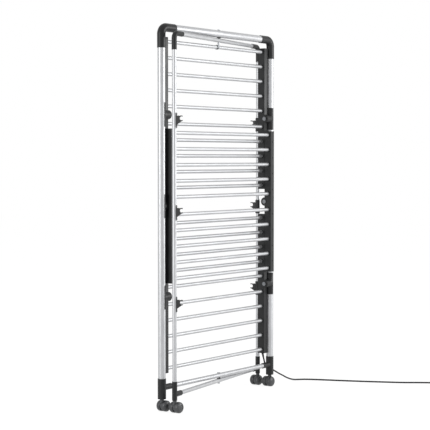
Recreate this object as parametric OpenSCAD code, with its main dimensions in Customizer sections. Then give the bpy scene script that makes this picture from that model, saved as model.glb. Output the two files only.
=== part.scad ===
// Heated clothes airer, folded upright. Two inverted frames on castors cross at the
// middle and turn about one upright axis, and three heated shelves hang on the outer one.
// Millimetres, +Z up. The origin is on the floor, on the axis that both frames share.

/* [Outer frame] */
// Height over the top elbows
overall_height = 1420; // [1400:5:1600]
// Distance between the axes of the two uprights
frame_span = 700; // [640:10:800]
// Outside diameter of the thick tube
outer_tube_d = 28; // [26:0.5:29]
// Outside diameter of the elbows and foot sleeves
outer_sleeve_d = 31; // [30.5:0.5:34]
// Radius of the elbow's bend, on its centre line
outer_bend = 26; // [22:1:32]
// Length of each elbow leg, from the corner of the two axes
outer_leg = 75; // [70:1:95]
// Height of the bottom rail's axis
bottom_rail_z = 88; // [82:1:100]
// Outside diameter of the bottom rail
bottom_rail_d = 18; // [16:0.5:19]
// Top of the foot sleeve
outer_foot_top = 122; // [115:1:150]

/* [Inner frame] */
// How much wider apart the inner frame's uprights stand
inner_extra = 6; // [4:1:20]
// Angle between the two folded frames
fold_angle = 9.5; // [9.5:0.5:14]
// Outside diameter of the thin tube
inner_tube_d = 16; // [14:0.5:17]
// Outside diameter of the thin frame's elbows and feet
inner_sleeve_d = 19; // [18.5:0.5:21]
// Radius of the thin elbow's bend, on its centre line
inner_bend = 20; // [16:1:24]
// Length of each thin elbow leg, from the corner of the two axes
inner_leg = 60; // [50:1:70]
// Top of the inner foot
inner_foot_top = 116; // [105:1:140]

/* [Joints of the frames] */
// Thickness of the washer between the crossing rails
washer_t = 2.5; // [1.5:0.5:4]
// Diameter of the two centre bolts
bolt_d = 6; // [5:0.5:7]
// Wall of every tube
tube_wall = 1.2; // [1:0.1:1.6]
// How far a thick tube reaches into an elbow
outer_socket = 45; // [30:1:48]
// How far a thin tube reaches into an elbow
inner_socket = 36; // [25:1:38]

/* [Shelves] */
// Gap between the foot's top and the bottom shelf's rails
foot_clear = 15.5; // [12:0.5:25]
// Gap between the rails of the top and bottom shelves
shelf_gap = 101; // [80:1:130]
// Width of a side rail
rail_w = 22; // [20:0.5:22.5]
// Depth of a side rail with its cover
rail_depth = 31; // [29:0.5:34]
// Wall of a side rail
rail_wall = 2.5; // [2:0.1:3]
// Gap between a side rail and the upright beside it
rail_gap = 4; // [3.8:0.1:6]
// Gap between the pivot plane and the rail's near face
plane_gap = 0.5; // [0.4:0.1:1.5]
// Outside diameter of a bar
bar_d = 14; // [12:0.5:15]
// Wall of a bar
bar_wall = 1; // [0.8:0.1:1.5]
// Distance from the pivot to the nearest bar
bar_first = 32; // [28:0.5:36]
// Distance from the outermost bar to the rail's end
bar_last = 15; // [12:0.5:20]
// Distance from the nearest bar to the first cover screw
screw_lead = 17; // [14:0.5:20]
// Diameter of the pivot pins
pin_d = 8; // [6:0.5:9]
// Radius of the ear that holds a pivot pin
ear_r = 17; // [15:0.5:18]
// Diameter of the heating cable
heat_d = 4; // [3:0.5:5]

/* [Brackets and clips] */
// Height of a pivot bracket
bracket_h = 88; // [70:1:100]
// Height of a clip's sleeve
clip_h = 55; // [45:1:60]
// Height of the jaw's centre below the pivot
jaw_drop = 15; // [13:0.5:18]
// Distance of the jaw's centre from the thin tube's axis
jaw_reach = 27; // [25:0.5:29]
// Length of the jaw along the bar that it holds
jaw_len = 9; // [6:0.5:10]

/* [Castors] */
// Height of the foot's lower end over the floor
castor_h = 47; // [46:0.5:52]
// Diameter of a castor wheel
wheel_d = 41; // [38:0.5:42]
// Width of one wheel
wheel_w = 19.2; // [16:0.1:19.5]
// Distance of the axle from the swivel's axis
trail = 10; // [8:0.5:10.5]
// Diameter of the swivel's stem
stem_d = 9; // [8:0.5:10]

/* [Cord] */
// Diameter of the mains cord
cord_d = 6.5; // [6:0.25:7]

/* [Hidden] */
$fn = 48;

plastic = [0.25, 0.26, 0.27];
dark = [0.18, 0.18, 0.19];
alloy = [0.83, 0.84, 0.85];
steel = [0.66, 0.67, 0.69];
over = 1;
slip = 0.08;
fit = 0.05;

top_rail_z = overall_height - outer_sleeve_d / 2;
inner_top_z = top_rail_z - outer_tube_d / 2 - washer_t - inner_tube_d / 2;
inner_bottom_z = bottom_rail_z - bottom_rail_d / 2 - washer_t - inner_tube_d / 2;
outer_r = frame_span / 2;
inner_r = (frame_span + inner_extra) / 2;

stem_bore_depth = 20;
spigot_wall = 2;
outer_spigot = 52;
inner_spigot = 45;
bore_floor = 3;

// What a straight tube of outside diameter d is, along +Z from the origin
module tube(d, length, wall = tube_wall) {
    difference() {
        cylinder(d = d, h = length);
        translate([0, 0, -over]) cylinder(d = d - 2 * wall, h = length + 2 * over);
    }
}

// The same tube lying along X with its middle at the origin
module tube_x(d, length, wall = tube_wall) {
    translate([-length / 2, 0, 0]) rotate([0, 90, 0]) tube(d, length, wall);
}

// A solid rod along X between two places
module rod_x(d, from, to) {
    translate([from, 0, 0]) rotate([0, 90, 0]) cylinder(d = d, h = to - from);
}

// The left half of a frame turned half a turn gives the right half
module other_side() {
    rotate([0, 0, 180]) children();
}

module inner_place() {
    rotate([0, 0, fold_angle]) children();
}

// Uprights stand between a socket in the foot and a socket in the elbow
module upright(r, d, corner_z, leg, socket) {
    bottom = castor_h + stem_bore_depth + bore_floor;
    top = corner_z - leg + socket;
    translate([-r, 0, bottom]) tube(d, top - bottom);
}

module outer_upright() {
    upright(outer_r, outer_tube_d, top_rail_z, outer_leg, outer_socket);
}

module inner_upright() {
    upright(inner_r, inner_tube_d, inner_top_z, inner_leg, inner_socket);
}

// A top rail with the hole for the centre bolt
module top_rail(r, d, z, leg, socket) {
    difference() {
        translate([0, 0, z]) tube_x(d, 2 * (r - leg + socket));
        translate([0, 0, z - d]) cylinder(d = bolt_d + 2 * fit, h = 2 * d);
    }
}

// A bottom rail ends inside the spigots of the feet
module bottom_rail(r, d, z, spigot) {
    difference() {
        translate([0, 0, z]) tube_x(d, 2 * (r - spigot + spigot_seat(spigot)));
        translate([0, 0, z - d]) cylinder(d = bolt_d + 2 * fit, h = 2 * d);
    }
}

function spigot_seat(spigot) = spigot * 0.5;

// A bent elbow at the left corner, hollow at both legs for the tubes
module elbow(r, sleeve_d, tube_d, z, bend, leg, socket) {
    translate([-r, 0, z]) difference() {
        union() {
            translate([0, 0, -leg]) cylinder(d = sleeve_d, h = leg - bend);
            translate([bend, 0, 0]) rotate([0, 90, 0]) cylinder(d = sleeve_d, h = leg - bend);
            translate([bend, 0, -bend]) rotate([90, 0, 0]) rotate([0, 0, 90])
                rotate_extrude(angle = 90) translate([bend, 0]) circle(d = sleeve_d);
        }
        translate([0, 0, -leg - over]) cylinder(d = tube_d + 2 * fit, h = socket + over);
        translate([leg - socket, 0, 0]) rotate([0, 90, 0])
            cylinder(d = tube_d + 2 * fit, h = socket + over);
    }
}

// A foot sleeve with a side spigot for the bottom rail and a bore for the castor's stem
module foot(r, sleeve_d, tube_d, top, rail_z, rail_d, spigot) {
    translate([-r, 0, 0]) difference() {
        union() {
            translate([0, 0, castor_h]) cylinder(d = sleeve_d, h = top - castor_h);
            translate([0, 0, rail_z]) rod_x(rail_d + 2 * spigot_wall, 0, spigot);
        }
        translate([0, 0, castor_h + stem_bore_depth + bore_floor])
            cylinder(d = tube_d + 2 * fit, h = top);
        translate([0, 0, castor_h - over]) cylinder(d = stem_d + 2 * slip, h = stem_bore_depth + over);
        translate([0, 0, rail_z])
            rod_x(rail_d + 2 * fit, spigot - spigot_seat(spigot), spigot + over);
    }
}

module outer_foot() {
    foot(outer_r, outer_sleeve_d, outer_tube_d, outer_foot_top, bottom_rail_z, bottom_rail_d,
         outer_spigot);
}

module inner_foot() {
    foot(inner_r, inner_sleeve_d, inner_tube_d, inner_foot_top, inner_bottom_z, inner_tube_d,
         inner_spigot);
}

// The shelves' rails fill the height between the feet and the thin elbows, and the middle
// shelf's pivots lie halfway
shelf_base = outer_foot_top + foot_clear;
shelf_top = inner_top_z - inner_sleeve_d / 2;
rail_half = (shelf_top - shelf_base - shelf_gap) / 4;
bottom_pivot = shelf_base + rail_half;
middle_pivot = (shelf_base + shelf_top) / 2;
top_pivot = shelf_top - rail_half;
pivots = [bottom_pivot, middle_pivot, top_pivot];

rail_out = outer_r - outer_tube_d / 2 - rail_gap;
rail_in = rail_out - rail_w;
bracket_skin = 2.5;
cap_t = 3;
cap_d = 16;
pin_flare_t = 1.5;
pin_flare = 3;
face_gap = 0.3;

// A half sleeve on the inner side of an upright, with a round hub towards the shelf
module pivot_bracket(z) {
    sleeve_r = outer_tube_d / 2 + bracket_skin;
    translate([0, 0, z]) difference() {
        union() {
            intersection() {
                translate([-outer_r, 0, -bracket_h / 2]) cylinder(r = sleeve_r, h = bracket_h);
                translate([-outer_r, -sleeve_r, -bracket_h / 2])
                    cube([sleeve_r, 2 * sleeve_r, bracket_h]);
            }
            rod_x(2 * ear_r, -outer_r + over, -rail_out - face_gap);
        }
        translate([-outer_r, 0, -bracket_h]) cylinder(d = outer_tube_d + 2 * fit, h = 2 * bracket_h);
        rod_x(pin_d + 2 * fit, -outer_r, -rail_in);
    }
}

// A pin goes through the upright's inner wall, the bracket and the rail's ear. It ends in a
// flare inside the tube and in a cap on the rail's inner face.
module pivot_pin(z) {
    bore_r = outer_tube_d / 2 - tube_wall;
    flare_r = (pin_d + pin_flare) / 2;
    flare_x = -outer_r + sqrt(bore_r * bore_r - flare_r * flare_r) - slip;
    translate([0, 0, z]) {
        rod_x(pin_d, flare_x - pin_flare_t, -rail_in + cap_t);
        rod_x(2 * flare_r, flare_x - pin_flare_t, flare_x);
        rod_x(cap_d, -rail_in + slip, -rail_in + slip + cap_t);
    }
}

module pivot_holes() {
    for (z = pivots) translate([0, 0, z]) rod_x(pin_d + 2 * fit, -outer_r, -outer_r + outer_tube_d);
}

module outer_upright_drilled() {
    difference() {
        outer_upright();
        pivot_holes();
    }
}

module outer_upright_left() { color(alloy) outer_upright_drilled(); }
module outer_upright_right() { color(alloy) other_side() outer_upright_drilled(); }
module outer_top_rail() {
    color(alloy) top_rail(outer_r, outer_tube_d, top_rail_z, outer_leg, outer_socket);
}
module outer_bottom_rail() {
    color(alloy) bottom_rail(outer_r, bottom_rail_d, bottom_rail_z, outer_spigot);
}
module outer_elbow() {
    elbow(outer_r, outer_sleeve_d, outer_tube_d, top_rail_z, outer_bend, outer_leg, outer_socket);
}
module outer_elbow_left() { color(plastic) outer_elbow(); }
module outer_elbow_right() { color(plastic) other_side() outer_elbow(); }
module outer_foot_left() { color(plastic) outer_foot(); }
module outer_foot_right() { color(plastic) other_side() outer_foot(); }
module pivot_brackets_left() { color(plastic) for (z = pivots) pivot_bracket(z); }
module pivot_brackets_right() { color(plastic) for (z = pivots) other_side() pivot_bracket(z); }
module pivot_pins() {
    color(steel) for (z = pivots) {
        pivot_pin(z);
        other_side() pivot_pin(z);
    }
}

// Centre bolts: a flat head over the outer rail, a low nut under the inner one
bolt_head_t = 3;
bolt_head_d = 13;
nut_h = 4;
nut_d = bolt_d + 3.5;
module centre_bolt(top, bottom) {
    translate([0, 0, bottom - nut_h + 1]) cylinder(d = bolt_d, h = top - bottom + nut_h - 1);
    translate([0, 0, top]) cylinder(d = bolt_head_d, h = bolt_head_t);
    translate([0, 0, bottom - nut_h]) cylinder(d = nut_d, h = nut_h - slip);
}
module centre_bolts() {
    color(steel) {
        centre_bolt(top_rail_z + outer_tube_d / 2, inner_top_z - inner_tube_d / 2);
        centre_bolt(bottom_rail_z + bottom_rail_d / 2, inner_bottom_z - inner_tube_d / 2);
    }
}

washer_d = 16;
module centre_washer(z) {
    translate([0, 0, z]) difference() {
        translate([0, 0, slip]) cylinder(d = washer_d, h = washer_t - 2 * slip);
        translate([0, 0, -over]) cylinder(d = bolt_d + 2 * slip, h = washer_t + 2 * over);
    }
}
module centre_washers() {
    color(dark) {
        centre_washer(inner_top_z + inner_tube_d / 2);
        centre_washer(inner_bottom_z + inner_tube_d / 2);
    }
}

module inner_upright_left() { color(alloy) inner_place() inner_upright(); }
module inner_upright_right() { color(alloy) inner_place() other_side() inner_upright(); }
module inner_top_rail() {
    color(alloy) inner_place() top_rail(inner_r, inner_tube_d, inner_top_z, inner_leg, inner_socket);
}
module inner_bottom_rail() {
    color(alloy) inner_place() bottom_rail(inner_r, inner_tube_d, inner_bottom_z, inner_spigot);
}
module inner_elbow() {
    elbow(inner_r, inner_sleeve_d, inner_tube_d, inner_top_z, inner_bend, inner_leg, inner_socket);
}
module inner_elbow_left() { color(plastic) inner_place() inner_elbow(); }
module inner_elbow_right() { color(plastic) inner_place() other_side() inner_elbow(); }
module inner_foot_left() { color(plastic) inner_place() inner_foot(); }
module inner_foot_right() { color(plastic) inner_place() other_side() inner_foot(); }

// Snap clips: a half sleeve on the thin tube, held by a rivet at each end, and an open jaw
// for a bar, which stands on a thick neck and a rib
clip_turn = -72;
sleeve_turn = -8;
clip_skin = 2;
plate_top = 5;
jaw_wall = 3.2;
jaw_r = bar_d / 2 + slip;
lip_reach = 3.7;
neck_high = 10;
rib_low = 24;
rivet_d = 3;
rivet_inset = 4.5;
rivet_head_t = 1;
rivet_head_d = 5;
rivet_places = [plate_top - rivet_inset, plate_top - clip_h + rivet_inset];
module clip_sleeve() {
    sleeve_r = inner_tube_d / 2 + clip_skin;
    translate([0, 0, plate_top - clip_h]) intersection() {
        cylinder(r = sleeve_r, h = clip_h);
        translate([0, -sleeve_r, 0]) cube([sleeve_r, 2 * sleeve_r, clip_h]);
    }
}
// The jaw's side view, with the bar's axis at the origin and the tube at -X
module jaw_outline() {
    ring_r = jaw_r + jaw_wall;
    plate_x = inner_tube_d / 2 - jaw_reach;
    difference() {
        union() {
            circle(r = ring_r);
            translate([plate_x, -jaw_r]) square([ring_r, neck_high + jaw_r]);
            polygon([[plate_x, -rib_low], [plate_x, -jaw_r], [-jaw_r, -jaw_r], [0, -ring_r]]);
        }
        circle(r = jaw_r);
        translate([lip_reach, -ring_r]) square(2 * ring_r);
    }
}
module snap_clip() {
    tube_r = inner_tube_d / 2;
    difference() {
        union() {
            rotate([0, 0, sleeve_turn]) clip_sleeve();
            rotate([0, 0, clip_turn]) translate([jaw_reach, jaw_len / 2, -jaw_drop])
                rotate([90, 0, 0]) linear_extrude(jaw_len) jaw_outline();
        }
        cylinder(r = tube_r + fit, h = 4 * clip_h, center = true);
        rotate([0, 0, clip_turn]) for (z = rivet_places)
            translate([0, 0, z]) rod_x(rivet_d + 2 * fit, 0, 2 * tube_r);
    }
}
module clip_rivet() {
    tube_r = inner_tube_d / 2;
    head_x = tube_r + clip_skin;
    for (z = rivet_places) rotate([0, 0, clip_turn]) translate([0, 0, z]) {
        rod_x(rivet_d, tube_r + fit, head_x);
        rod_x(rivet_head_d, head_x, head_x + rivet_head_t);
    }
}
module on_inner_left() {
    place = [-inner_r * cos(fold_angle), -inner_r * sin(fold_angle), 0];
    for (z = pivots) translate(place + [0, 0, z]) children();
}
module snap_clips_left() { color(dark) on_inner_left() snap_clip(); }
module snap_clips_right() { color(dark) other_side() on_inner_left() snap_clip(); }
module clip_rivets() {
    color(steel) {
        on_inner_left() clip_rivet();
        other_side() on_inner_left() clip_rivet();
    }
}

// Shelves. One shelf is drawn round its pivot axis, X, with its depth towards +Y.
bar_y = plane_gap + rail_depth / 2;
cover_t = 2.5;
channel_depth = rail_depth - cover_t;
boss_d = 7;
screw_d = 3;
screw_head_d = 5.5;
screw_head_t = 1.6;
hub_wall = 4.5;
hub_r = pin_d / 2 + hub_wall;
bar_inset = 6;
bar_end = rail_out - rail_wall - bar_inset;
bars_each_way = 5;
bar_pitch = (rail_half - bar_last - bar_first) / (bars_each_way - 1);
bar_places = [for (side = [-1, 1], i = [0 : bars_each_way - 1]) side * (bar_first + i * bar_pitch)];

// Between each two bars there is a screw, a little farther from the nearer bar each time
screw_drift = 4.5;
screw_places = [
    for (side = [-1, 1], i = [0 : bars_each_way - 2])
        side * (bar_first + screw_lead + i * (bar_pitch + screw_drift))
];
rail_mid = rail_out - rail_w / 2;
end_wall = 4;

module cover_screw_holes(d, from, to) {
    for (z = screw_places) translate([rail_mid, from, z])
        rotate([-90, 0, 0]) cylinder(d = d, h = to - from);
}

// The side rail at +X: a channel that takes the bars' ends, with an ear for the pivot pin
module side_rail() {
    difference() {
        union() {
            difference() {
                translate([rail_in, plane_gap, -rail_half]) cube([rail_w, channel_depth, 2 * rail_half]);
                translate([rail_in + rail_wall, plane_gap + rail_wall, -rail_half + end_wall])
                    cube([rail_w - 2 * rail_wall, rail_depth, 2 * (rail_half - end_wall)]);
            }
            rod_x(2 * hub_r, rail_in, rail_out);
            intersection() {
                rod_x(2 * ear_r, rail_in, rail_out);
                translate([rail_in, -2 * ear_r, -2 * ear_r])
                    cube([rail_w, 2 * ear_r + plane_gap + rail_wall, 4 * ear_r]);
            }
            cover_screw_holes(boss_d, plane_gap + rail_wall, plane_gap + channel_depth);
        }
        rod_x(pin_d + 2 * slip, 0, rail_out + over);
        for (z = bar_places) translate([0, bar_y, z])
            rod_x(bar_d + 2 * fit, rail_in - over, rail_in + rail_wall + over);
        cover_screw_holes(screw_d + 2 * fit, plane_gap + rail_depth - screw_len, plane_gap + rail_depth);
    }
}
screw_len = 12;

module side_cover() {
    difference() {
        translate([rail_in, plane_gap + channel_depth, -rail_half]) cube([rail_w, cover_t, 2 * rail_half]);
        cover_screw_holes(screw_d + 2 * fit, 0, rail_depth + over);
        cover_screw_holes(screw_head_d + 2 * fit, plane_gap + rail_depth - screw_head_t, 2 * rail_depth);
    }
}

module shelf_screws() {
    head_y = plane_gap + rail_depth - screw_head_t;
    color(steel) for (turn = [0, 1]) mirror([turn, 0, 0]) {
        cover_screw_holes(screw_d, plane_gap + rail_depth - screw_len + fit, head_y);
        cover_screw_holes(screw_head_d, head_y, head_y + screw_head_t - slip);
    }
}

module shelf_bars() {
    color(alloy) for (z = bar_places) translate([0, bar_y, z]) tube_x(bar_d, 2 * bar_end, bar_wall);
}

// The heating cable runs to and fro through the bars and turns back inside the rails
module shelf_heater() {
    turn_x = rail_out - rail_wall - heat_d / 2 - face_gap;
    plug_d = bar_d - 2 * bar_wall - 2 * slip;
    plug_t = 5;
    order = [for (i = [0 : 2 * bars_each_way - 1])
        i < bars_each_way ? bar_places[bars_each_way - 1 - i] : bar_places[i]];
    last = len(order) - 1;
    color(dark) translate([0, bar_y, 0]) {
        for (i = [0 : last]) translate([0, 0, order[i]]) {
            rod_x(heat_d, -turn_x, turn_x);
            rod_x(plug_d, -bar_end, -bar_end + plug_t);
            rod_x(plug_d, bar_end - plug_t, bar_end);
        }
        for (i = [0 : last - 1]) {
            side = i % 2 == 0 ? 1 : -1;
            translate([side * turn_x, 0, order[i] - heat_d / 2])
                cylinder(d = heat_d, h = order[i + 1] - order[i] + heat_d);
        }
    }
}

module rail_pair_left() { color(plastic) mirror([1, 0, 0]) side_rail(); }
module rail_pair_right() { color(plastic) side_rail(); }
module shelf_covers() { color(plastic) for (turn = [0, 1]) mirror([turn, 0, 0]) side_cover(); }

// The top and bottom shelves hang behind the pivots, the middle one in front of them
module at_top() { translate([0, 0, top_pivot]) children(); }
module at_middle() { translate([0, 0, middle_pivot]) rotate([0, 0, 180]) children(); }
module at_bottom() { translate([0, 0, bottom_pivot]) children(); }

module top_rail_left() { at_top() rail_pair_left(); }
module top_rail_right() { at_top() rail_pair_right(); }
module top_covers() { at_top() shelf_covers(); }
module top_bars() { at_top() shelf_bars(); }
module top_screws() { at_top() shelf_screws(); }
module top_heater() { at_top() shelf_heater(); }
module middle_rail_left() { at_middle() rail_pair_right(); }
module middle_rail_right() { at_middle() rail_pair_left(); }
module middle_covers() { at_middle() shelf_covers(); }
module middle_bars() { at_middle() shelf_bars(); }
module middle_screws() { at_middle() shelf_screws(); }
module middle_heater() { at_middle() shelf_heater(); }
module bottom_rail_left() { at_bottom() rail_pair_left(); }
module bottom_rail_right() {
    color(plastic) difference() {
        at_bottom() rail_pair_right();
        translate([rail_mid, bar_y, shelf_base - over])
            cylinder(d = relief_stub_d + 2 * fit, h = end_wall + 2 * over);
    }
}
module bottom_covers() { at_bottom() shelf_covers(); }
module bottom_bars() { at_bottom() shelf_bars(); }
module bottom_screws() { at_bottom() shelf_screws(); }
module bottom_heater() { at_bottom() shelf_heater(); }

// Strap latch: a band round the top shelf's last bar, with a tongue in front that stands up
// beside the centre bolt's nut
latch_w = 8;
latch_t = 2;
latch_gap = 0.75;
module shelf_latch() {
    band_r = bar_d / 2 + slip;
    color(steel) translate([nut_d / 2 + latch_gap, bar_y, shelf_top - bar_last]) {
        rotate([0, 90, 0]) tube(2 * (band_r + latch_t), latch_w, latch_t);
        translate([0, -band_r - latch_t, 0]) cube([latch_w, latch_t, bar_last]);
    }
}

// Castors. One castor is drawn under its stem with the axle towards +X, along Y.
fork_web = 6;
fork_low = 12;
fork_rim = 2.5;
collar_wall = 3;
wheel_gap = 0.6;
well_gap = 0.5;
well_d = wheel_d + 2;
axle_d = 6;
axle_reach = 12;
fork_top = castor_h - face_gap;
stem_top = castor_h + stem_bore_depth - 1;
module castor_fork() {
    collar_low = wheel_d * 0.75;
    color(dark) {
        difference() {
            union() {
                translate([trail, fork_web / 2, wheel_d / 2]) rotate([90, 0, 0])
                    cylinder(d = wheel_d - 2 * fork_rim, h = fork_web);
                translate([0, 0, collar_low])
                    cylinder(d = stem_d + 2 * collar_wall, h = fork_top - collar_low);
            }
            castor_place_wheel(1) wheel_well();
            castor_place_wheel(-1) wheel_well();
            translate([-wheel_d, -fork_web, 0]) cube([2 * wheel_d, 2 * fork_web, fork_low]);
        }
        translate([0, 0, well_d]) cylinder(d = stem_d, h = stem_top - well_d);
        translate([trail, axle_reach + fork_web / 2, wheel_d / 2]) rotate([90, 0, 0])
            cylinder(d = axle_d, h = 2 * axle_reach + fork_web);
    }
}
// Room round a wheel, cut from the fork's collar
module wheel_well() {
    translate([0, 0, -well_gap]) cylinder(d = well_d, h = 2 * wheel_w);
}
// Places a wheel that is drawn from z = 0 outwards on one side of the fork
module castor_place_wheel(side) {
    translate([trail, side * (fork_web / 2 + wheel_gap), wheel_d / 2])
        rotate([-90 * side, 0, 0]) children();
}
dome_r = 10;
wheel_edge = 1;
hub_face_r = wheel_d / 4;
module castor_wheel(side) {
    color(dark) castor_place_wheel(side) difference() {
        rotate_extrude($fn = 64) polygon(concat(
            [[0, 0], [wheel_d / 2 - wheel_edge, 0], [wheel_d / 2, wheel_edge]],
            [for (a = [0 : 15 : 90])
                [wheel_d / 2 - dome_r * (1 - cos(a)), wheel_w - dome_r * (1 - sin(a))]],
            [[hub_face_r, wheel_w], [hub_face_r - wheel_edge, wheel_w - wheel_edge],
             [0, wheel_w - wheel_edge]]
        ));
        translate([0, 0, -over]) cylinder(d = axle_d + 2 * slip, h = axle_reach + over);
    }
}
module at_outer_left() { translate([-outer_r, 0, 0]) children(); }
module at_inner_left() {
    translate([-inner_r * cos(fold_angle), -inner_r * sin(fold_angle), 0]) children();
}
module castor_fork_outer_left() { at_outer_left() castor_fork(); }
module castor_fork_outer_right() { other_side() at_outer_left() castor_fork(); }
module castor_fork_inner_left() { at_inner_left() castor_fork(); }
module castor_fork_inner_right() { other_side() at_inner_left() castor_fork(); }
module wheel_a_outer_left() { at_outer_left() castor_wheel(-1); }
module wheel_b_outer_left() { at_outer_left() castor_wheel(1); }
module wheel_a_outer_right() { other_side() at_outer_left() castor_wheel(-1); }
module wheel_b_outer_right() { other_side() at_outer_left() castor_wheel(1); }
module wheel_a_inner_left() { at_inner_left() castor_wheel(-1); }
module wheel_b_inner_left() { at_inner_left() castor_wheel(1); }
module wheel_a_inner_right() { other_side() at_inner_left() castor_wheel(-1); }
module wheel_b_inner_right() { other_side() at_inner_left() castor_wheel(1); }

// Mains cord. It leaves the lower end of the bottom shelf's right rail, drops behind the foot
// and runs along the floor to a coil held by a tie, where the plug lies.
relief_len = 20;
relief_lean = 20;
relief_top_d = 9.5;
relief_tip_d = cord_d + 0.8;
relief_stub_d = 8;
relief_flange_d = 11;
relief_flange_t = 1.5;
relief_dir = [sin(relief_lean), 0, -cos(relief_lean)];
rail_foot = [0, 0, shelf_base];
floor_z = cord_d / 2;
coil_z = 4.5;
module cord_strain_relief() {
    color(dark) translate([rail_mid, bar_y, shelf_base]) {
        difference() {
            rotate([0, -relief_lean, 0]) translate([0, 0, -relief_len])
                cylinder(d1 = relief_tip_d, d2 = relief_top_d, h = relief_len + relief_top_d / 2);
            translate([-relief_top_d, -relief_top_d, 0]) cube(2 * relief_top_d);
        }
        translate([0, 0, -over]) cylinder(d = relief_stub_d, h = over + end_wall + slip);
        translate([0, 0, end_wall + slip]) cylinder(d = relief_flange_d, h = relief_flange_t);
    }
}

// Points on the floor plan are measured from the exit in the rail's end. The first three
// go on straight from the sleeve, which leans outwards.
route = [for (p = [
    rail_foot + relief_len * relief_dir,
    rail_foot + (relief_len + 6) * relief_dir,
    rail_foot + (relief_len + 12) * relief_dir,
    [13.9, 0.4, 101],
    [17.5, 1.2, 95],
    [21.9, 2.4, 89.6],
    [27, 3.6, 84.7],
    [32.8, 4, 80.2],
    [39.4, 3, 75.9],
    [46.6, 0.2, 71.4],
    [55, -4, 66],
    [66, -9.5, 59],
    [81, -14.5, 50],
    [101, -17, 40],
    [123, -18, 30.5],
    [147, -18, 20],
    [171, -20, 11],
    [193, -25, 5],
    [213, -35, floor_z],
    [230, -51, floor_z],
    [244, -73, floor_z],
    [257, -100, floor_z],
    [270, -131, floor_z],
    [284, -165, floor_z],
    [299, -201, floor_z],
    [315, -238, floor_z],
    [332, -276, floor_z],
    [350, -314, floor_z],
    [369, -352, floor_z],
    [388, -390, floor_z],
    [409, -428, floor_z],
    [431, -466, 4],
    [453, -504, coil_z],
    [475, -542, coil_z],
    [497, -580, coil_z]
]) p + [rail_mid, bar_y, 0]];

// A smooth curve through the route's points, halved between each two of them
function between(p, i) = let (
    a = p[max(i - 1, 0)],
    b = p[i],
    c = p[i + 1],
    d = p[min(i + 2, len(p) - 1)]
) (9 * (b + c) - a - d) / 16;
function smooth(p) = concat(
    [for (i = [0 : len(p) - 2], half = [0, 1]) half == 0 ? p[i] : between(p, i)],
    [p[len(p) - 1]]
);
function unit(v) = v / norm(v);
function direction(p, i) = unit(p[min(i + 1, len(p) - 1)] - p[max(i - 1, 0)]);
function across(v, t) = unit(v - (v * t) * t);
function frames(p, first) = [
    for (i = 0, u = across(first, direction(p, 0)); i < len(p);
         i = i + 1, u = i < len(p) ? across(u, direction(p, i)) : u) u
];

// A closed tube of triangles along the points p
module swept_tube(p, r, sides, first) {
    n = len(p);
    turned = frames(p, first);
    rings = [for (i = [0 : n - 1]) let (t = direction(p, i), u = turned[i], v = cross(t, u))
        for (k = [0 : sides - 1]) p[i] + r * (cos(360 * k / sides) * u + sin(360 * k / sides) * v)];
    walls = [for (i = [0 : n - 2], k = [0 : sides - 1]) let (
        a = i * sides + k, b = i * sides + (k + 1) % sides, c = a + sides, d = b + sides)
        each [[a, b, c], [b, d, c]]];
    ends = [for (k = [1 : sides - 2]) each [
        [0, k + 1, k],
        [(n - 1) * sides, (n - 1) * sides + k, (n - 1) * sides + k + 1]]];
    polyhedron(points = rings, faces = concat(walls, ends));
}
module mains_cord() {
    color(dark) swept_tube(smooth(route), cord_d / 2, 10, [1, 0, 0]);
}

// The coil starts where the route ends, in the same direction. It spirals in over the tie's
// strap, climbs one layer in the half turn where it reverses, and spirals out again on top.
coil_loops = 2;
coil_rings = 24;
coil_gap = 0.6;
coil_step = cord_d + coil_gap;
coil_mid_r = 36;
coil_out_r = coil_mid_r + coil_step * coil_loops / 2;
coil_in_r = coil_out_r - coil_step * coil_loops;
coil_lead = cord_d;
coil_tail = 4 * cord_d;
coil_turns = 2 * coil_loops;
climb_turns = 0.5;
function eased(s) = s * s * (3 - 2 * s);
function climbed(t) = eased(max(0, min(1, (t - coil_loops) / climb_turns + 0.5)));
function coil_r(t) = coil_out_r - coil_step * min(t, coil_turns - t);
function coil_point(t) = [
    coil_lead + coil_r(t) * sin(360 * t),
    coil_out_r - coil_r(t) * cos(360 * t),
    coil_step * climbed(t)
];
tail_turn = -atan(coil_step / (2 * PI * coil_out_r));
tail_start = coil_point(coil_turns);
tail_end = tail_start + coil_tail * [cos(tail_turn), sin(tail_turn), 0];
coil_points = concat(
    [[0, 0, 0]],
    [for (i = [0 : coil_turns * coil_rings]) coil_point(i / coil_rings)],
    [tail_start + cord_d * [cos(tail_turn), sin(tail_turn), 0], tail_end]
);
module at_coil() {
    last = len(route) - 1;
    heading = route[last] - route[last - 1];
    translate(route[last]) rotate([0, 0, atan2(heading[1], heading[0])]) children();
}
module cord_coil() {
    color(dark) at_coil() swept_tube(coil_points, cord_d / 2, 6, [0, 0, 1]);
}

function length_of(p, i = 0) = i > len(p) - 2 ? 0 : norm(p[i + 1] - p[i]) + length_of(p, i + 1);
half_loop = coil_rings / 2;
coil_self_gap = min([
    for (i = [0 : len(coil_points) - 1], j = [i + half_loop : 1 : len(coil_points) - 1])
        norm(coil_points[i] - coil_points[j])
]) - cord_d;
echo(str("least gap of the coil to itself, mm: ", coil_self_gap));
echo(str("cord outside the coil, mm: ", length_of(smooth(route))));
echo(str("cord in the coil and its ends, mm: ", length_of(coil_points)));

// A strap round all the turns, on the coil's far side from the entry
tie_w = 8;
tie_t = 1.2;
module cord_tie() {
    bundle = coil_out_r - coil_in_r + slip;
    top = coil_z + coil_step + cord_d / 2 + face_gap;
    color(dark) at_coil() translate([coil_lead, coil_out_r + coil_in_r - slip / 2, -coil_z]) difference() {
        translate([-tie_w / 2, -tie_t, 0]) cube([tie_w, bundle + 2 * tie_t, top + tie_t]);
        translate([-tie_w, 0, tie_t]) cube([2 * tie_w, bundle, top - tie_t]);
    }
}

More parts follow.
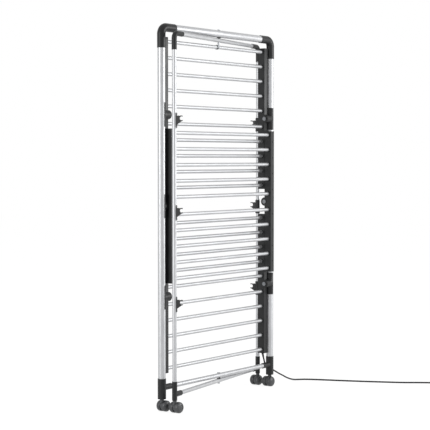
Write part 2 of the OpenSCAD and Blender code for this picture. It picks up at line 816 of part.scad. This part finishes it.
// A two-pin plug that lies flat, with its axis at the height of the coil's upper layer
plug_w = 37;
plug_len = 36;
plug_neck = 18;
plug_neck_low_d = cord_d + 2;
plug_neck_high_d = 13;
plug_pin_d = 4;
plug_pin_len = 19;
plug_pin_pitch = 19;
module mains_plug() {
    half_h = coil_z + coil_step;
    round_y = plug_w / 2 - half_h;
    color(dark) at_coil() translate(tail_end) rotate([0, 0, tail_turn]) {
        rotate([0, 90, 0]) cylinder(d1 = plug_neck_low_d, d2 = plug_neck_high_d, h = plug_neck);
        translate([plug_neck, 0, 0]) {
            translate([0, -round_y, -half_h]) cube([plug_len, 2 * round_y, 2 * half_h]);
            for (side = [-1, 1]) {
                translate([0, side * round_y, 0]) rod_x(2 * half_h, 0, plug_len);
                translate([0, side * plug_pin_pitch / 2, 0])
                    rod_x(plug_pin_d, plug_len - over, plug_len + plug_pin_len);
            }
        }
    }
}

outer_upright_left();
outer_upright_right();
outer_top_rail();
outer_bottom_rail();
outer_elbow_left();
outer_elbow_right();
outer_foot_left();
outer_foot_right();
pivot_brackets_left();
pivot_brackets_right();
pivot_pins();
centre_bolts();
centre_washers();
inner_upright_left();
inner_upright_right();
inner_top_rail();
inner_bottom_rail();
inner_elbow_left();
inner_elbow_right();
inner_foot_left();
inner_foot_right();
snap_clips_left();
snap_clips_right();
clip_rivets();
top_rail_left();
top_rail_right();
top_covers();
top_bars();
top_screws();
top_heater();
middle_rail_left();
middle_rail_right();
middle_covers();
middle_bars();
middle_screws();
middle_heater();
bottom_rail_left();
bottom_rail_right();
bottom_covers();
bottom_bars();
bottom_screws();
bottom_heater();
shelf_latch();
castor_fork_outer_left();
castor_fork_outer_right();
castor_fork_inner_left();
castor_fork_inner_right();
wheel_a_outer_left();
wheel_b_outer_left();
wheel_a_outer_right();
wheel_b_outer_right();
wheel_a_inner_left();
wheel_b_inner_left();
wheel_a_inner_right();
wheel_b_inner_right();
cord_strain_relief();
mains_cord();
cord_coil();
cord_tie();
mains_plug();
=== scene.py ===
import math

import bmesh
import bpy
from mathutils import Matrix, Vector


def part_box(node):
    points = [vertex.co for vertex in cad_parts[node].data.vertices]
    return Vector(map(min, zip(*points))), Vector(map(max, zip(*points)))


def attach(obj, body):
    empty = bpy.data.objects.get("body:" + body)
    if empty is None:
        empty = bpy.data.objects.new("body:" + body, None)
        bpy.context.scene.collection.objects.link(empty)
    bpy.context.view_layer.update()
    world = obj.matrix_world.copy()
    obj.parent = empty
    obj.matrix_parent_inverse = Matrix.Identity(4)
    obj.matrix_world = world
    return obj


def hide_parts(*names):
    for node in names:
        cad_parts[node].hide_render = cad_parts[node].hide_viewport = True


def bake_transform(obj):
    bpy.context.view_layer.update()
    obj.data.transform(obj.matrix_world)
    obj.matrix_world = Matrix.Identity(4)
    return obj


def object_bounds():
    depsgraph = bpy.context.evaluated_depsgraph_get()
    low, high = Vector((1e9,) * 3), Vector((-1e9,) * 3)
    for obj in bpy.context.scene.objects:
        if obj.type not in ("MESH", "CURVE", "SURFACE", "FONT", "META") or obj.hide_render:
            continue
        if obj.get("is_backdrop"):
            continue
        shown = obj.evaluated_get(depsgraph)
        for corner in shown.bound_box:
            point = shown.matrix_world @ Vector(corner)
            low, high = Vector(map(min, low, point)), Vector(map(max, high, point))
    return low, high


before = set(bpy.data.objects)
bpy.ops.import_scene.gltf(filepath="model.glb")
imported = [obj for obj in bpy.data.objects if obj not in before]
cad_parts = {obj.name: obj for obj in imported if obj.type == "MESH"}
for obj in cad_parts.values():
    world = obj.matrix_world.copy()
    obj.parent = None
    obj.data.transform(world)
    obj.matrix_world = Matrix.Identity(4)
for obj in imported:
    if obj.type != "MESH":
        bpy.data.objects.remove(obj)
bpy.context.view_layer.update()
mm = 0.001

# Photographer's table and camera
# The folded airer stands on a seamless white sweep and is taken with a long lens from the
# front left, a little under its middle height.
camera = bpy.data.objects.new("camera", bpy.data.cameras.new("camera"))
camera.location = Vector((-4162.3, -3081.3, 928.9)) * mm
camera.rotation_euler = (math.radians(87.58), 0, math.radians(-53.33))
camera.data.sensor_width = 36
camera.data.lens = 112.55
camera.data.clip_end = 60
bpy.context.scene.collection.objects.link(camera)
bpy.context.scene.camera = camera
bpy.context.scene.view_settings.view_transform = "Standard"


def hex_colour(code):
    """The linear colour of an sRGB hex value."""
    parts = [int(code[i:i + 2], 16) / 255 for i in (1, 3, 5)]
    return [p / 12.92 if p <= 0.04045 else ((p + 0.055) / 1.055) ** 2.4 for p in parts] + [1]


def add_node(tree, kind, inputs=None, **settings):
    """A node with its settings, whose inputs take values or other nodes' sockets."""
    made = tree.nodes.new(kind)
    for name, value in settings.items():
        setattr(made, name, value)
    for key, value in (inputs or {}).items():
        if isinstance(value, bpy.types.NodeSocket):
            tree.links.new(value, made.inputs[key])
        else:
            made.inputs[key].default_value = value
    return made


def new_material(name):
    """An empty node material, its tree and its output node."""
    made = bpy.data.materials.new(name)
    made.use_nodes = True
    made.node_tree.nodes.clear()
    return made, made.node_tree, add_node(made.node_tree, "ShaderNodeOutputMaterial")


def seen_directly(tree):
    """1 on rays from the camera and on those that metal and gloss send back, else 0."""
    path = add_node(tree, "ShaderNodeLightPath")
    either = add_node(tree, "ShaderNodeMath", {0: path.outputs["Is Camera Ray"],
                                               1: path.outputs["Is Glossy Ray"]}, operation="MAXIMUM")
    return add_node(tree, "ShaderNodeMath", {0: either.outputs[0],
                                             1: path.outputs["Is Transmission Ray"]},
                    operation="MAXIMUM").outputs[0]


# Matt white paper. Most of what the camera sees of it is an even white, and the rest takes
# the airer's shadow.
sweep_half, paper_glow, glow_share = 12, 1.125, 0.8
sweep_material, tree, output = new_material("white_paper_sweep")
paper = add_node(tree, "ShaderNodeBsdfDiffuse", {"Color": hex_colour("#F4F4F4")})
glow = add_node(tree, "ShaderNodeEmission", {"Color": hex_colour("#FFFFFF"), "Strength": paper_glow})
share = add_node(tree, "ShaderNodeMath", {0: seen_directly(tree), 1: glow_share}, operation="MULTIPLY")
mixed = add_node(tree, "ShaderNodeMixShader", {0: share.outputs[0], 1: paper.outputs[0],
                                               2: glow.outputs[0]})
tree.links.new(mixed.outputs[0], output.inputs["Surface"])

sweep_mesh = bmesh.new()
bmesh.ops.create_grid(sweep_mesh, x_segments=1, y_segments=1, size=sweep_half)
sweep_data = bpy.data.meshes.new("sweep")
sweep_mesh.to_mesh(sweep_data)
sweep = bpy.data.objects.new("sweep", sweep_data)
sweep_data.materials.append(sweep_material)
bpy.context.scene.collection.objects.link(sweep)
sweep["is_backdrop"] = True

# The room lights the airer a little from all sides, and shows white behind it and in its metal.
room_light, backdrop_light = 0.55, 1.0
world = bpy.data.worlds.new("studio")
world.use_nodes = True
bpy.context.scene.world = world
tree = world.node_tree
tree.nodes.clear()
ambient = add_node(tree, "ShaderNodeBackground", {"Color": hex_colour("#FFFFFF"),
                                                  "Strength": room_light})
backdrop = add_node(tree, "ShaderNodeBackground", {"Color": hex_colour("#FFFFFF"),
                                                   "Strength": backdrop_light})
mixed = add_node(tree, "ShaderNodeMixShader", {0: seen_directly(tree), 1: ambient.outputs[0],
                                               2: backdrop.outputs[0]})
add_node(tree, "ShaderNodeOutputWorld", {"Surface": mixed.outputs[0]})


def softbox(name, place, size, height, power):
    """An upright area lamp, in metres and watts, that faces the middle of the airer."""
    lamp = bpy.data.lights.new(name, "AREA")
    lamp.shape = "RECTANGLE"
    lamp.size = size
    lamp.size_y = height
    lamp.energy = power
    made = bpy.data.objects.new(name, lamp)
    made.location = place
    airer_middle = Vector((0, 0, 0.7))
    made.rotation_euler = (airer_middle - made.location).to_track_quat("-Z", "Y").to_euler()
    bpy.context.scene.collection.objects.link(made)


softbox("key_softbox", (-2.95, 0.6, 1.15), 0.5, 2.2, 39)
softbox("front_softbox", (2.1, -3.1, 1.4), 0.9, 2.0, 104)

# Mains cord
# Round PVC-sheathed flex of 6.5 mm, 1.81 m long. It leaves the bottom shelf's right rail,
# passes behind the foot, runs along the floor and ends in a tied coil with the plug.
cord_d = 6.5
floor_z = cord_d / 2
coil_z = 4.5
rail_foot = Vector((321, 16, 137.5))
relief_len, relief_lean = 20, math.radians(20)
relief_dir = Vector((math.sin(relief_lean), 0, -math.cos(relief_lean)))
route = [rail_foot + relief_dir * (relief_len + straight) for straight in (0, 6, 12)]
route += [Vector((rail_foot.x + x, rail_foot.y + y, z)) for x, y, z in (
    (13.9, 0.4, 101), (17.5, 1.2, 95), (21.9, 2.4, 89.6), (27, 3.6, 84.7), (32.8, 4, 80.2),
    (39.4, 3, 75.9), (46.6, 0.2, 71.4), (55, -4, 66), (66, -9.5, 59), (81, -14.5, 50),
    (101, -17, 40), (123, -18, 30.5), (147, -18, 20), (171, -20, 11), (193, -25, 5),
    (213, -35, floor_z), (230, -51, floor_z), (244, -73, floor_z), (257, -100, floor_z),
    (270, -131, floor_z), (284, -165, floor_z), (299, -201, floor_z), (315, -238, floor_z),
    (332, -276, floor_z), (350, -314, floor_z), (369, -352, floor_z), (388, -390, floor_z),
    (409, -428, floor_z), (431, -466, 4), (453, -504, coil_z), (475, -542, coil_z),
    (497, -580, coil_z),
)]
route = [p * mm for p in route]


def halved(points):
    """The same curve with a point added in the middle of each stretch."""
    made = []
    for i in range(len(points) - 1):
        before, after = points[max(i - 1, 0)], points[min(i + 2, len(points) - 1)]
        made += [points[i], (9 * (points[i] + points[i + 1]) - before - after) / 16]
    return made + [points[-1]]


coil_loops, coil_middle_r, coil_gap = 2, 36, 0.6
coil_step = (cord_d + coil_gap) * mm
coil_out_r = coil_middle_r * mm + coil_step * coil_loops / 2
coil_in_r = coil_out_r - coil_step * coil_loops
coil_turns = 2 * coil_loops
reversal_turn = 0.5
rings_per_turn = 48
heading = route[-1] - route[-2]
coil_frame = Matrix.Translation(route[-1]) @ Matrix.Rotation(math.atan2(heading.y, heading.x), 4, "Z")


def coil_point(turn):
    """A place on the coil: in over the floor, up in the half turn of the reversal, out again."""
    radius = coil_out_r - coil_step * min(turn, coil_turns - turn)
    share = max(0, min(1, (turn - coil_loops) / reversal_turn + 0.5))
    angle = 2 * math.pi * turn
    return Vector((cord_d * mm + radius * math.sin(angle), coil_out_r - radius * math.cos(angle),
                   coil_step * share * share * (3 - 2 * share)))


tail_len = 4 * cord_d * mm
tail_turn = -math.atan(coil_step / (2 * math.pi * coil_out_r))
tail_start = coil_point(coil_turns)
tail_end = tail_start + tail_len * Vector((math.cos(tail_turn), math.sin(tail_turn), 0))
coil_line = [coil_point(i / rings_per_turn) for i in range(coil_turns * rings_per_turn + 1)]
coil_line += [tail_start.lerp(tail_end, 0.25), tail_end]
cord_line = halved(halved(route)) + [coil_frame @ p for p in coil_line]


def coat_noise(tree, size_mm, detail=3, stretch=(1, 1, 1), turn=0):
    """Noise on Object coordinates whose spots measure about size_mm."""
    place = add_node(tree, "ShaderNodeTexCoord").outputs["Object"]
    mapped = add_node(tree, "ShaderNodeMapping", {
        "Vector": place, "Scale": [size_mm * mm / s for s in stretch], "Rotation": (0, 0, turn)},
        vector_type="TEXTURE")
    return add_node(tree, "ShaderNodeTexNoise", {"Vector": mapped.outputs[0], "Scale": 1.0,
                                                 "Detail": detail, "Roughness": 0.55}).outputs["Fac"]


def spread(tree, value, low, high):
    """A noise value drawn out from its middle range to low and high."""
    return add_node(tree, "ShaderNodeMapRange", {"Value": value, "From Min": 0.3, "From Max": 0.7,
                                                 "To Min": low, "To Max": high}).outputs[0]


def tinted(tree, value, dark, light):
    """A colour between two hex values, by a noise value."""
    return add_node(tree, "ShaderNodeMix", {0: spread(tree, value, 0, 1), 6: hex_colour(dark),
                                            7: hex_colour(light)}, data_type="RGBA").outputs[2]


def moulded(name, dark, light, rough, grain_mm, grain_depth, patch_mm=60, sheen=0.3):
    """Moulded plastic: an even colour, faint flow patches and a spark-eroded grain.

    The real grain of about 0.1 mm is too fine to show, so it is drawn some ten times as coarse.
    """
    rough_swing = 0.05
    made, tree, output = new_material(name)
    patches = coat_noise(tree, patch_mm)
    grain = coat_noise(tree, grain_mm, detail=2)
    bump = add_node(tree, "ShaderNodeBump", {"Height": grain, "Distance": grain_depth * mm,
                                             "Strength": 1.0})
    plastic = add_node(tree, "ShaderNodeBsdfPrincipled", {
        "Base Color": tinted(tree, patches, dark, light), "Normal": bump.outputs[0],
        "Roughness": spread(tree, patches, rough - rough_swing, rough + rough_swing),
        "Specular IOR Level": sheen})
    tree.links.new(plastic.outputs[0], output.inputs["Surface"])
    return made


# Soft PVC takes a satin skin from the extruder, which the eye sees as a long broken gleam, and
# dull patches from handling.
cord_pvc = moulded("extruded_black_PVC", "#1D1D1F", "#2A2A2C", 0.42, 1.5, 0.03, patch_mm=25)


sharp_edge = math.radians(35)


def finish_piece(made, name, material, body, *replaced):
    """Puts a bmesh in the scene as a smooth-shaded piece that rides on a body."""
    bmesh.ops.recalc_face_normals(made, faces=made.faces)
    data = bpy.data.meshes.new(name)
    made.to_mesh(data)
    made.free()
    data.materials.append(material)
    data.shade_smooth()
    data.set_sharp_from_angle(angle=sharp_edge)
    piece = bpy.data.objects.new(name, data)
    bpy.context.scene.collection.objects.link(piece)
    if body:
        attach(piece, body)
    if replaced:
        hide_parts(*replaced)
    return piece


def tube_mesh(line, radius, name):
    """A capped round tube along a line of points."""
    curve = bpy.data.curves.new(name, "CURVE")
    curve.dimensions = "3D"
    curve.bevel_depth = radius
    curve.bevel_resolution = 4
    curve.use_fill_caps = True
    spline = curve.splines.new("POLY")
    spline.points.add(len(line) - 1)
    for point, place in zip(spline.points, line):
        point.co = (*place, 1)
    holder = bpy.data.objects.new(name, curve)
    bpy.context.scene.collection.objects.link(holder)
    shaped = holder.evaluated_get(bpy.context.evaluated_depsgraph_get())
    made = bmesh.new()
    made.from_mesh(shaped.to_mesh())
    bpy.data.objects.remove(holder)
    bmesh.ops.remove_doubles(made, verts=made.verts, dist=1e-6)
    return made


cord = finish_piece(tube_mesh(cord_line, cord_d / 2 * mm, "cord_line"), "mains_cord_sheath",
                    cord_pvc, None, "mains_cord", "cord_coil")


def lathe(profile, steps=48):
    """A closed turned shape round Z from (radius, height) pairs in millimetres."""
    made = bmesh.new()
    line = [made.verts.new((r * mm, 0, z * mm)) for r, z in profile]
    edges = [made.edges.new(pair) for pair in zip(line, line[1:])]
    bmesh.ops.spin(made, geom=line + edges, cent=(0, 0, 0), axis=(0, 0, 1), angle=2 * math.pi,
                   steps=steps, use_merge=True)
    bmesh.ops.remove_doubles(made, verts=made.verts, dist=1e-7)
    return made


def add_shape(target, shape, matrix=Matrix.Identity(4)):
    """Moves one bmesh into another at a place."""
    bmesh.ops.transform(shape, matrix=matrix, verts=shape.verts)
    data = bpy.data.meshes.new("shape")
    shape.to_mesh(data)
    shape.free()
    target.from_mesh(data)
    bpy.data.meshes.remove(data)


# Strain relief
# Soft ribbed sleeve, moulded round the flex and clamped in the rail's lower end. The grooves
# let it bend evenly.
relief_top_r, relief_tip_r, relief_in_rail = 4.75, 3.65, 2.5
ribs, groove, rib_round = 6, 0.5, 0.4
rib_start, rib_end = 0.2, 0.85
profile = [(0, 0), (relief_tip_r, 0)]
for i in range(ribs):
    for share, depth, rise in ((rib_start, groove, 0), (rib_start, 0, rib_round),
                               (rib_end, 0, -rib_round), (rib_end, groove, 0)):
        along = relief_len * (i + share) / ribs + rise
        taper = (relief_top_r - relief_tip_r) * along / relief_len
        profile.append((relief_tip_r + taper - depth, along))
profile += [(relief_top_r - groove, relief_len + relief_in_rail), (0, relief_len + relief_in_rail)]
sleeve = bmesh.new()
relief_frame = Matrix.Translation(rail_foot * mm) @ Matrix.Rotation(-relief_lean, 4, "Y")
add_shape(sleeve, lathe(profile, 32), relief_frame @ Matrix.Translation((0, 0, -relief_len * mm)))
relief = finish_piece(sleeve, "strain_relief_sleeve", cord_pvc, "bottom_shelf", "cord_strain_relief")

# Cord tie
# Flat releasable nylon strap round the four turns of the coil, pulled close, with its closed
# head on the outer side.
tie_t, tie_w, tie_slack, tie_corner_r = 1.2, 8, 0.3, 2.5
tie_head = Vector((11, 4, 7))
tie_top = coil_z * mm + coil_step + (cord_d / 2 + tie_slack) * mm
tie_middle = Vector((cord_d * mm, coil_out_r + (coil_in_r + coil_out_r) / 2, -coil_z * mm))
strap = bmesh.new()
bmesh.ops.create_cube(strap, size=1)
strap_size = Vector((tie_w * mm, coil_out_r - coil_in_r + 2 * tie_t * mm, tie_top + tie_t * mm))
bmesh.ops.scale(strap, vec=strap_size, verts=strap.verts)
bmesh.ops.translate(strap, vec=tie_middle + Vector((0, 0, strap_size.z / 2)), verts=strap.verts)
ends = [f for f in strap.faces if abs(f.normal.x) > 0.9]
bmesh.ops.delete(strap, geom=ends, context="FACES_ONLY")
long_edges = [e for e in strap.edges if not e.is_boundary]
bmesh.ops.bevel(strap, geom=long_edges, offset=tie_corner_r * mm, segments=4, profile=0.5,
                affect="EDGES", material=-1)
bmesh.ops.recalc_face_normals(strap, faces=strap.faces)
bmesh.ops.solidify(strap, geom=strap.faces[:], thickness=tie_t * mm)
head = bmesh.new()
bmesh.ops.create_cube(head, size=1)
bmesh.ops.scale(head, vec=tie_head * mm, verts=head.verts)
bmesh.ops.bevel(head, geom=head.edges[:], offset=1 * mm, segments=3, profile=0.5,
                affect="EDGES", material=-1)
head_place = tie_middle + Vector((0, strap_size.y / 2, strap_size.z / 2))
add_shape(strap, head, Matrix.Translation(head_place))
bmesh.ops.transform(strap, matrix=coil_frame, verts=strap.verts)
# Moulded nylon is a little greyer than the flex and looks dry, with hardly a gleam.
tie_nylon = moulded("moulded_nylon_strap", "#222224", "#2E2E30", 0.5, 2, 0.03)
tie = finish_piece(strap, "cord_tie_strap", tie_nylon, "outer_frame", "cord_tie")

# Mains plug
# Generic two-pin plug: a moulded body with grip ridges, a ribbed neck round the flex and two
# nickel-plated round pins.
plug_frame = coil_frame @ Matrix.Translation(tail_end) @ Matrix.Rotation(tail_turn, 4, "Z")
along_x = Matrix.Rotation(math.pi / 2, 4, "Y")
plug_w, plug_len, neck_len = 37, 36, 18
plug_corner_r, plug_rim_r = 10, 2.2
plug_half_h = coil_z + coil_step / mm
ridge, ridge_rise, ridge_first, ridge_pitch, ridge_count = Vector((2, 1.2, 12)), 0.4, 8, 5, 4
neck_rings, neck_pitch, neck_growth = 4, 4, 0.35
body = bmesh.new()
bmesh.ops.create_cube(body, size=1)
body_size = Vector((plug_len, plug_w - 2 * ridge_rise, 2 * plug_half_h)) * mm
bmesh.ops.scale(body, vec=body_size, verts=body.verts)
bmesh.ops.translate(body, vec=((neck_len + plug_len / 2) * mm, 0, 0), verts=body.verts)
long_edges = [e for e in body.edges if abs((e.verts[0].co - e.verts[1].co).x) > 1 * mm]
bmesh.ops.bevel(body, geom=long_edges, offset=plug_corner_r * mm, segments=8, profile=0.5,
                affect="EDGES", material=-1)
rims = [e for e in body.edges if e.is_manifold and e.calc_face_angle() > 1.2]
bmesh.ops.bevel(body, geom=rims, offset=plug_rim_r * mm, segments=4, profile=0.5,
                affect="EDGES", material=-1)
neck = [(0, 0), (4.3, 0)]
for i in range(neck_rings):
    ring_r, ring_z = 4.4 + neck_growth * i, 2 + neck_pitch * i
    neck += [(ring_r, ring_z), (ring_r + 0.6, ring_z + 0.4), (ring_r + 0.8, ring_z + 2.4),
             (ring_r + 0.2, ring_z + 2.8)]
neck += [(6.5, neck_len + 1), (0, neck_len + 1)]
add_shape(body, lathe(neck, 32), along_x)
for side in (-1, 1):
    for i in range(ridge_count):
        grip = bmesh.new()
        bmesh.ops.create_cube(grip, size=1)
        bmesh.ops.scale(grip, vec=ridge * mm, verts=grip.verts)
        bmesh.ops.bevel(grip, geom=grip.edges[:], offset=0.4 * mm, segments=2, profile=0.5,
                        affect="EDGES", material=-1)
        spot = Vector((neck_len + ridge_first + ridge_pitch * i, side * (plug_w - ridge.y) / 2, 0))
        add_shape(body, grip, Matrix.Translation(spot * mm))
bmesh.ops.transform(body, matrix=plug_frame, verts=body.verts)
# Moulded PVC comes out of the tool satin black, a shade greyer than the flex.
plug_pvc = moulded("moulded_plug_body", "#1F1F21", "#29292B", 0.45, 0.8, 0.03, patch_mm=30)
plug = finish_piece(body, "plug_body", plug_pvc, "outer_frame", "mains_plug")


def plated_metal(name, dark, light, rough):
    """Plated or blackened steel and brass, with faint cloudy wear of some millimetres."""
    cloud_mm, rough_swing = 6, 0.06
    made, tree, output = new_material(name)
    clouds = coat_noise(tree, cloud_mm)
    metal = add_node(tree, "ShaderNodeBsdfPrincipled", {
        "Base Color": tinted(tree, clouds, dark, light), "Metallic": 1.0,
        "Roughness": spread(tree, clouds, rough - rough_swing, rough + rough_swing)})
    tree.links.new(metal.outputs[0], output.inputs["Surface"])
    return made


# Nickel plating is bright and slightly warm, with rubbed ends.
nickel = plated_metal("nickel_plated_brass", "#B9B4A8", "#D2CEC4", 0.22)
pin_apart = 19
pin_profile = [(0, -1), (2, -1), (2, 17), (1.7, 18), (1, 18.5), (0, 18.5)]
pins = bmesh.new()
for side in (-1, 1):
    spot = Vector((neck_len + plug_len, side * pin_apart / 2, 0)) * mm
    add_shape(pins, lathe(pin_profile, 24), Matrix.Translation(spot) @ along_x)
bmesh.ops.transform(pins, matrix=plug_frame, verts=pins.verts)
plug_pins = finish_piece(pins, "plug_pins", nickel, "outer_frame", "mains_plug")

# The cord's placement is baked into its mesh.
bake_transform(cord)

# Aluminium tubes
# Drawn round tube, satin-anodised. Drawing leaves faint lines along the tube, and anodising
# makes the reflections broad and soft.
line_mm, line_depth, cloud_mm = 1.6, 0.02, 45


def drawn_aluminium(name, stretch, turn=0):
    """Satin-anodised drawn tube whose lines run along one axis.

    The real lines of about 0.1 mm are too fine to show, so they are drawn coarser.
    """
    made, tree, output = new_material(name)
    lines = coat_noise(tree, line_mm, detail=2, stretch=stretch, turn=turn)
    clouds = coat_noise(tree, cloud_mm)
    tone = add_node(tree, "ShaderNodeMath", {0: lines, 1: clouds}, operation="ADD")
    half = add_node(tree, "ShaderNodeMath", {0: tone.outputs[0], 1: 0.5}, operation="MULTIPLY")
    bump = add_node(tree, "ShaderNodeBump", {"Height": lines, "Distance": line_depth * mm,
                                             "Strength": 1.0})
    metal = add_node(tree, "ShaderNodeBsdfPrincipled", {
        "Base Color": tinted(tree, half.outputs[0], "#AEAFB1", "#BEBFC1"), "Metallic": 0.6,
        "Roughness": spread(tree, half.outputs[0], 0.34, 0.46), "Normal": bump.outputs[0]})
    tree.links.new(metal.outputs[0], output.inputs["Surface"])
    return made


fold_angle = math.radians(9.5)
upright_aluminium = drawn_aluminium("anodised_aluminium_upright", (1, 1, 0.01))
rail_aluminium = drawn_aluminium("anodised_aluminium_rail", (0.01, 1, 1))
crossed_aluminium = drawn_aluminium("anodised_aluminium_crossed_rail", (0.01, 1, 1), fold_angle)


def dress(material, slot, *names):
    """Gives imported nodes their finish."""
    for name in names:
        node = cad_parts[name]
        node.data.materials.clear()
        node.data.materials.append(material)


dress(upright_aluminium, "aluminium_tube", "outer_upright_left", "outer_upright_right",
      "inner_upright_left", "inner_upright_right")
dress(rail_aluminium, "aluminium_tube", "outer_top_rail", "outer_bottom_rail",
      "top_bars", "middle_bars", "bottom_bars")
dress(crossed_aluminium, "aluminium_tube", "inner_top_rail", "inner_bottom_rail")

# Moulded fittings
# Elbows, feet, brackets, side rails, covers and clips are injection-moulded ABS in charcoal
# with a fine spark-eroded grain. Every edge of the tool has a small radius.
charcoal_abs = moulded("moulded_charcoal_ABS", "#131415", "#1A1B1C", 0.42, 1.1, 0.05)
shelf_names = ("top", "middle", "bottom")
rounded_from = math.radians(40)


def softened(node, width_mm, body, material=charcoal_abs):
    """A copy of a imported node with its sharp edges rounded, which stands for the node."""
    made = bmesh.new()
    made.from_mesh(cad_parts[node].data)
    bmesh.ops.remove_doubles(made, verts=made.verts, dist=2e-6)
    bmesh.ops.dissolve_limit(made, angle_limit=math.radians(1), verts=made.verts, edges=made.edges)
    piece = finish_piece(made, node + "_moulding", material, None)
    rounding = piece.modifiers.new("rounding", "BEVEL")
    rounding.width = width_mm * mm
    rounding.segments = 3
    rounding.limit_method = "ANGLE"
    rounding.angle_limit = rounded_from
    rounding.harden_normals = True
    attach(piece, body)
    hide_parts(node)
    return piece


for side in ("left", "right"):
    softened("outer_elbow_" + side, 0.8, "outer_frame")
    softened("outer_foot_" + side, 0.8, "outer_frame")
    softened("pivot_brackets_" + side, 0.6, "outer_frame")
    softened("inner_elbow_" + side, 0.6, "inner_frame")
    softened("inner_foot_" + side, 0.6, "inner_frame")
    softened("snap_clips_" + side, 0.4, "inner_frame")
    for shelf in shelf_names:
        softened(shelf + "_rail_" + side, 1.2, shelf + "_shelf")
for shelf in shelf_names:
    softened(shelf + "_covers", 0.8, shelf + "_shelf")
dress(charcoal_abs, "charcoal_plastic", "centre_washers")

# Steel small parts
# Turned and pressed steel: bolts and rivets with bright zinc plate, and pivot pins and a strap
# latch whose plate has gone dull, so that they look mid-grey.
zinc = plated_metal("zinc_plated_steel", "#9C9EA1", "#B6B8BA", 0.34)
dull_zinc = plated_metal("dull_zinc_plate", "#6A6C6F", "#7C7E81", 0.4)
dress(zinc, "grey_steel", "centre_bolts", "clip_rivets")
dress(dull_zinc, "grey_steel", "pivot_pins")
softened("shelf_latch", 0.3, "latch", dull_zinc)

# Cover screws
# Countersunk steel screws, eight for each cover, sunk a little below its face. Their near-black colour
# is
# blackened steel and partly painted shade: it stands in for the shade of the driver recess, which is
# too fine to show, so that they look like small black dots.
screw_steel_with_painted_shade = plated_metal("black_screw_steel_with_painted_shade", "#141415", "#1E1E20", 0.4)
rail_half, bar_first, bar_last, screw_lead, screw_drift = 283, 32, 15, 17, 4.5
bar_pitch = (rail_half - bar_last - bar_first) / 4
screw_sink = 0.5
screw_profile = [(0, -8), (1.2, -8), (1.2, -1.1), (2.7, -0.7), (2.7, -0.3), (2.3, 0), (0, 0)]
screw_offsets = [side * (bar_first + screw_lead + i * (bar_pitch + screw_drift))
                 for side in (-1, 1) for i in range(4)]
for shelf in shelf_names:
    low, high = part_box(shelf + "_screws")
    face_sign = -1 if shelf == "middle" else 1
    face_y = (low.y if shelf == "middle" else high.y) / mm - face_sign * screw_sink
    middle_z = (low.z + high.z) / 2 / mm
    heads = bmesh.new()
    for x in (-rail_foot.x, rail_foot.x):
        for offset in screw_offsets:
            spot = Matrix.Translation(Vector((x, face_y, middle_z + offset)) * mm)
            outward = spot @ Matrix.Rotation(-face_sign * math.pi / 2, 4, "X")
            add_shape(heads, lathe(screw_profile, 20), outward)
    screws = finish_piece(heads, shelf + "_cross_screws", screw_steel_with_painted_shade, shelf + "_shelf",
                          shelf + "_screws")

# Heating cable
# Silicone-sleeved resistance cable, threaded through the bars, whose turns the side rails hide.
# The rubber is brick red and matt.
silicone = moulded("heating_cable_silicone", "#7A3A2A", "#8A4634", 0.55, 1.2, 0.03)
dress(silicone, "heating_cable", "top_heater", "middle_heater", "bottom_heater")

# Castors
# Twin-wheel furniture castors: a moulded nylon fork that swivels on its stem, and two domed
# wheels on its pins. The nylon is greyer than the ABS and has a soft gloss.
castor_nylon = moulded("moulded_castor_nylon", "#333436", "#434446", 0.36, 1.4, 0.04, sheen=0.5)
wheel_d, wheel_w, trail, hub_inner, dome_r = 41, 19.2, 10, 3.6, 10
wheel_r = wheel_d / 2
dome = [(wheel_r - dome_r * (1 - math.cos(a)), wheel_w - dome_r * (1 - math.sin(a)))
        for a in (math.radians(9 * i) for i in range(1, 10))]
wheel_profile = [
    (3.2, 0), (wheel_r - 1, 0), (wheel_r - 0.3, 0.3), (wheel_r, 1), (wheel_r, 4.4),
    (wheel_r - 0.6, 4.8), (wheel_r - 0.6, 5.6), (wheel_r, 6), *dome[:5],
    (dome[5][0] - 0.2, dome[5][1] - 0.7), (dome[5][0] - 1, dome[5][1] + 0.2), *dome[6:],
    (10.2, wheel_w), (9.6, wheel_w - 0.3), (9.2, wheel_w - 1), (7.6, wheel_w - 1),
    (7.3, wheel_w - 0.4), (6, wheel_w - 0.1), (0, wheel_w), (0, 12), (3.2, 12), (3.2, 0),
]
outer_reach, inner_reach = 350, 353
fold_x, fold_y = inner_reach * math.cos(fold_angle), inner_reach * math.sin(fold_angle)
castor_places = {"outer_left": (-outer_reach, 0), "outer_right": (outer_reach, 0),
                 "inner_left": (-fold_x, -fold_y), "inner_right": (fold_x, fold_y)}
for castor, (x, y) in castor_places.items():
    softened("castor_fork_" + castor, 0.5, "castor_" + castor, castor_nylon)
    facing = Matrix.Rotation(0 if x < 0 else math.pi, 4, "Z")
    under = Matrix.Translation((x * mm, y * mm, 0)) @ facing
    for letter, side in (("a", -1), ("b", 1)):
        axle = Matrix.Translation(Vector((trail, side * hub_inner, wheel_r)) * mm)
        name = "wheel_" + letter + "_" + castor
        shape = lathe(wheel_profile, 64)
        outward = Matrix.Rotation(-side * math.pi / 2, 4, "X")
        bmesh.ops.transform(shape, matrix=under @ axle @ outward, verts=shape.verts)
        wheel = finish_piece(shape, name + "_turned", castor_nylon, name, name)

low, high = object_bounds()
